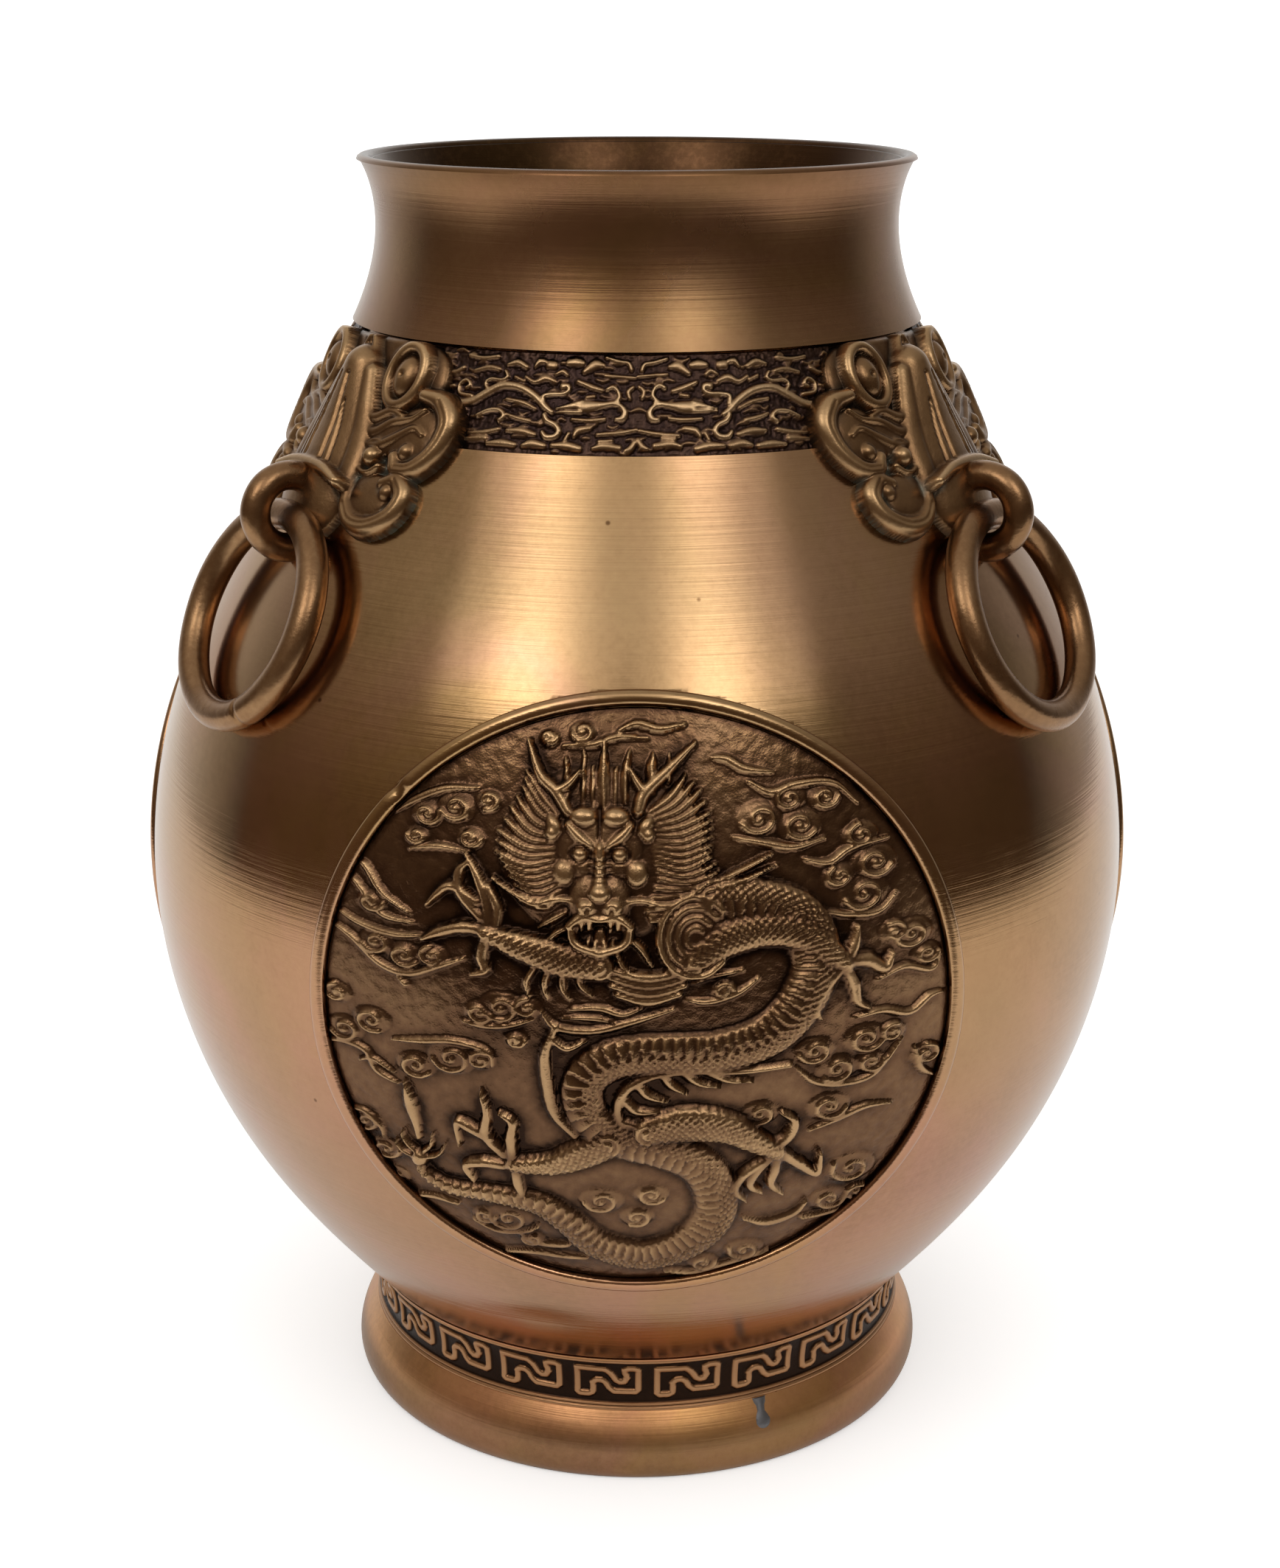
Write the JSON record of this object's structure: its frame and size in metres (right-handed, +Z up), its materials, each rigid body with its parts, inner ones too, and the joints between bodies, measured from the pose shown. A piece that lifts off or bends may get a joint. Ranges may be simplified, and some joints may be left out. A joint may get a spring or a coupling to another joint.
{
  "type": "bronze hu vase",
  "caption": "Bronze hu vase: globular body, flared neck and foot, dragon roundels, fret and frieze bands, and beast-mask handles with loose swinging rings.",
  "frame": {"origin": "centre of the foot, on the surface that the vase stands on", "axes": "+Z up along the vase's axis, -Y out through the front roundel, +X to the right seen from the front"},
  "size_m": [0.3144, 0.3127, 0.4],
  "materials": {
    "polished_bronze": "satin polished, fine horizontal lines, brown lacquer patina",
    "foot_bronze": "satin, coppery brown patina",
    "fret_bronze": "near black ground under rubbed copper lines",
    "relief_bronze": "cast relief, dark brown ground, rubbed golden edges",
    "bead_bronze": "satin polished",
    "frieze_bronze": "cast relief, dark purple-brown stippled ground",
    "mask_bronze": "cast, brown patina with verdigris in the hollows",
    "ring_bronze": "round bar, rubbed golden brown"
  },
  "bodies": {
    "vessel": {"neck_collar": "polished_bronze", "belly_shell": "polished_bronze", "foot_ring": "foot_bronze", "base_plate": "foot_bronze", "fret_band": "fret_bronze", "roundel_front": "relief_bronze", "roundel_bead_front": "bead_bronze", "frieze_panel_front": "frieze_bronze", "roundel_right": "relief_bronze", "roundel_bead_right": "bead_bronze", "frieze_panel_right": "frieze_bronze", "roundel_left": "relief_bronze", "roundel_bead_left": "bead_bronze", "frieze_panel_left": "frieze_bronze", "mask_left": "mask_bronze", "loop_left": "ring_bronze", "mask_right": "mask_bronze", "loop_right": "ring_bronze", "mask_back": "mask_bronze", "loop_back": "ring_bronze"},
    "left_ring": {"ring_left": "ring_bronze"},
    "right_ring": {"ring_right": "ring_bronze"},
    "back_ring": {"ring_back": "ring_bronze"}
  },
  "joints": [
    {"name": "ring_left_swing", "type": "hinge", "parent": "vessel", "child": "left_ring", "pos_m": [-0.1006, -0.06785, 0.30211], "axis": [-0.5592, 0.829, 0], "range_deg": [0, 165]},
    {"name": "ring_right_swing", "type": "hinge", "parent": "vessel", "child": "right_ring", "pos_m": [0.1006, -0.06785, 0.30211], "axis": [-0.5592, -0.829, 0], "range_deg": [0, 165]},
    {"name": "ring_back_swing", "type": "hinge", "parent": "vessel", "child": "back_ring", "pos_m": [0, 0.12134, 0.30211], "axis": [1, 0, 0], "range_deg": [0, 165]}
  ]
}
